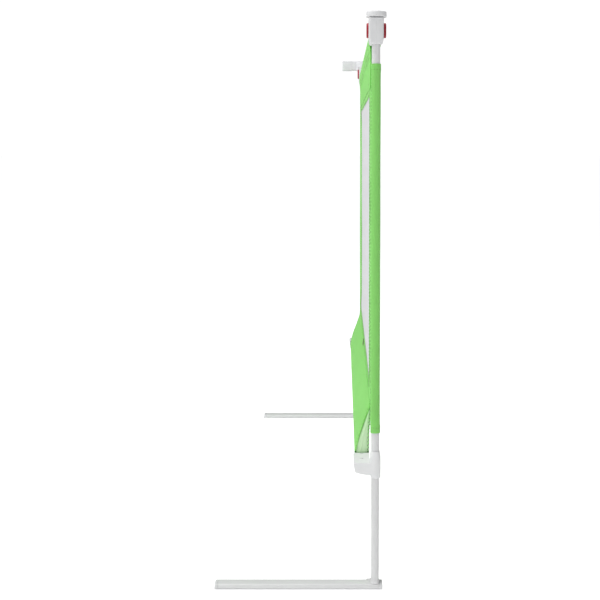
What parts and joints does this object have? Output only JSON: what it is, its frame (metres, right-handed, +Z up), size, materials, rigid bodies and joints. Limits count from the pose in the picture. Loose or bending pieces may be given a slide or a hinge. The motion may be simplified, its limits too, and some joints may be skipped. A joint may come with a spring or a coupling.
{
  "type": "bed guard rail",
  "caption": "Bed guard rail: flat legs under the mattress carry upright posts; a cloth and mesh panel slides down the posts when squeeze buttons are pressed.",
  "frame": {"origin": "centre of the footprint, on the floor-side faces of the grip pads", "axes": "+X along the rail towards the end with the corner link, +Y towards the bed, +Z up the posts"},
  "size_m": [1.4192, 0.2572, 0.8585],
  "materials": {
    "white_steel": "semi-gloss powder coat",
    "white_plastic": "satin moulded",
    "red_plastic": "satin moulded",
    "grip_rubber": "matt",
    "zinc": "zinc plated",
    "spring_steel": "bright wire",
    "green_cloth": "woven polyester",
    "white_mesh": "knitted net",
    "tag_cloth": "woven tape"
  },
  "bodies": {
    "base": {"left_leg_bar": "white_steel", "left_heel_cap": "white_plastic", "left_toe_cap": "white_plastic", "left_grip_pad": "grip_rubber", "left_post": "white_steel", "left_foot_collar": "white_steel", "left_foot_plug": "white_plastic", "left_foot_screw": "zinc", "left_post_cap": "white_plastic", "right_leg_bar": "white_steel", "right_heel_cap": "white_plastic", "right_toe_cap": "white_plastic", "right_grip_pad": "grip_rubber", "right_post": "white_steel", "right_foot_collar": "white_steel", "right_foot_plug": "white_plastic", "right_foot_screw": "zinc", "right_post_cap": "white_plastic"},
    "panel": {"left_housing_bed_shell": "white_plastic", "left_housing_room_shell": "white_plastic", "left_housing_screw": "zinc", "left_return_spring": "spring_steel", "left_top_rail": "white_steel", "left_lower_rail": "white_steel", "left_lower_joint": "white_plastic", "left_joint_screw_1": "zinc", "left_joint_screw_2": "zinc", "left_cover_sleeve": "green_cloth", "right_housing_bed_shell": "white_plastic", "right_housing_room_shell": "white_plastic", "right_housing_screw": "zinc", "right_return_spring": "spring_steel", "right_top_rail": "white_steel", "right_lower_rail": "white_steel", "right_lower_joint": "white_plastic", "right_joint_screw_1": "zinc", "right_joint_screw_2": "zinc", "right_cover_sleeve": "green_cloth", "top_rail_coupler": "white_steel", "lower_rail_coupler": "white_steel", "cover_top_band": "green_cloth", "mesh_window": "white_mesh", "lower_pocket": "green_cloth", "sewn_tag": "tag_cloth"},
    "left_button_bed": {"left_button_bed": "red_plastic"},
    "left_button_room": {"left_button_room": "red_plastic"},
    "left_slider": {"left_lock_slider": "white_plastic"},
    "right_button_bed": {"right_button_bed": "red_plastic"},
    "right_button_room": {"right_button_room": "red_plastic"},
    "right_slider": {"right_lock_slider": "white_plastic"},
    "corner_link": {"corner_link": "white_plastic"}
  },
  "joints": [
    {"name": "panel_slide", "type": "slide", "parent": "base", "child": "panel", "axis": [0, 0, 1], "range_m": [-0.145, 0]},
    {"name": "left_button_press", "type": "slide", "parent": "panel", "child": "left_button_bed", "axis": [0, -1, 0], "range_m": [0, 0.003]},
    {"name": "left_button_room_press", "type": "slide", "parent": "panel", "child": "left_button_room", "axis": [0, 1, 0], "range_m": [0, 0.003]},
    {"name": "left_lock_slide", "type": "slide", "parent": "panel", "child": "left_slider", "axis": [1, 0, 0], "range_m": [0, 0.003]},
    {"name": "right_button_press", "type": "slide", "parent": "panel", "child": "right_button_bed", "axis": [0, -1, 0], "range_m": [0, 0.003]},
    {"name": "right_button_room_press", "type": "slide", "parent": "panel", "child": "right_button_room", "axis": [0, 1, 0], "range_m": [0, 0.003]},
    {"name": "right_lock_slide", "type": "slide", "parent": "panel", "child": "right_slider", "axis": [-1, 0, 0], "range_m": [0, 0.003]},
    {"name": "corner_link_lift", "type": "slide", "parent": "base", "child": "corner_link", "axis": [0, 0, 1], "range_m": [0, 0.04]}
  ],
  "couplings": [
    {"joint": "left_button_room_press", "follows": "left_button_press", "ratio": 1},
    {"joint": "left_lock_slide", "follows": "left_button_press", "ratio": 1},
    {"joint": "right_button_room_press", "follows": "right_button_press", "ratio": 1},
    {"joint": "right_lock_slide", "follows": "right_button_press", "ratio": 1}
  ]
}
